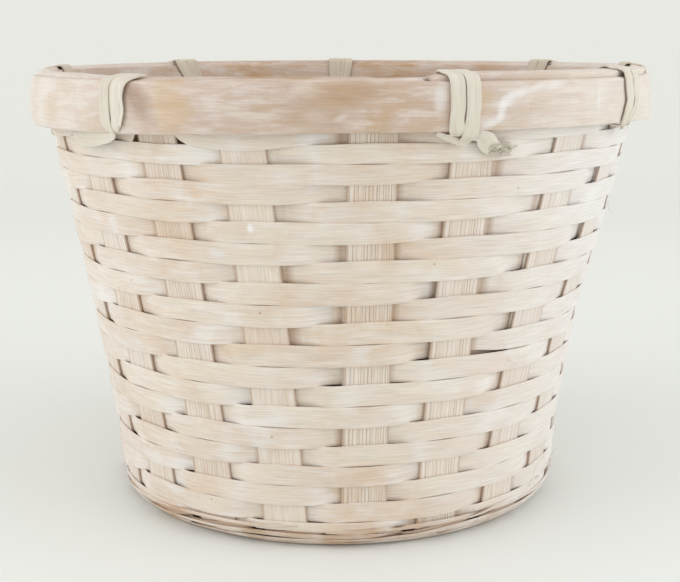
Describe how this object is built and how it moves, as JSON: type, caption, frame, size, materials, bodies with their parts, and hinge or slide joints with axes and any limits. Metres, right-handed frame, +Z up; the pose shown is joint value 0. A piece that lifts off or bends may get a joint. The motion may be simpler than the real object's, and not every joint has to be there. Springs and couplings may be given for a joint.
{
  "type": "lined basket",
  "caption": "Round flared basket of flat bamboo strips in a twill weave, with a hooped and tied rim, a rounded foot and a removable plastic liner.",
  "frame": {"origin": "centre of the circle that the basket stands on, on the floor under its base", "axes": "+Z up along the basket's axis, -Y towards the viewer of the picture, +X to the viewer's right"},
  "size_m": [0.2541, 0.2519, 0.1794],
  "materials": {
    "bamboo_weaver": "whitewashed split bamboo, matt",
    "bamboo_stake": "whitewashed split bamboo, matt",
    "bamboo_hoop": "whitewashed bamboo, smooth, patchy tan",
    "cane": "pale grey cane peel, satin",
    "liner_plastic": "matt tan-brown plastic"
  },
  "bodies": {
    "basket": {"stake_strip_01": "bamboo_stake", "stake_strip_02": "bamboo_stake", "stake_strip_03": "bamboo_stake", "stake_strip_04": "bamboo_stake", "stake_strip_05": "bamboo_stake", "stake_strip_06": "bamboo_stake", "stake_strip_07": "bamboo_stake", "stake_strip_08": "bamboo_stake", "stake_strip_09": "bamboo_stake", "stake_strip_10": "bamboo_stake", "weaver_01": "bamboo_weaver", "weaver_02": "bamboo_weaver", "weaver_03": "bamboo_weaver", "weaver_04": "bamboo_weaver", "weaver_05": "bamboo_weaver", "weaver_06": "bamboo_weaver", "weaver_07": "bamboo_weaver", "weaver_08": "bamboo_weaver", "weaver_09": "bamboo_weaver", "weaver_10": "bamboo_weaver", "weaver_11": "bamboo_weaver", "weaver_12": "bamboo_weaver", "weaver_13": "bamboo_weaver", "weaver_14": "bamboo_weaver", "weaver_15": "bamboo_weaver", "weaver_16": "bamboo_weaver", "weaver_17": "bamboo_weaver", "weaver_18": "bamboo_weaver", "weaver_19": "bamboo_weaver", "weaver_20": "bamboo_weaver", "base_round": "bamboo_stake", "foot_splint_01": "bamboo_weaver", "foot_splint_02": "bamboo_weaver", "foot_splint_03": "bamboo_weaver", "foot_splint_04": "bamboo_weaver", "foot_splint_05": "bamboo_weaver", "foot_splint_06": "bamboo_weaver", "rim_course": "bamboo_weaver", "outer_hoop": "bamboo_hoop", "inner_hoop": "bamboo_hoop", "rim_filler": "bamboo_hoop", "cane_tie_01": "cane", "cane_tie_02": "cane", "cane_tie_03": "cane", "cane_tie_04": "cane", "cane_tie_05": "cane", "cane_tie_06": "cane", "cane_tie_07": "cane", "cane_tie_08": "cane"},
    "liner": {"liner": "liner_plastic"}
  },
  "joints": [
    {"name": "liner_lift", "type": "slide", "parent": "basket", "child": "liner", "axis": [0, 0, 1], "range_m": [0, 0.18]}
  ]
}
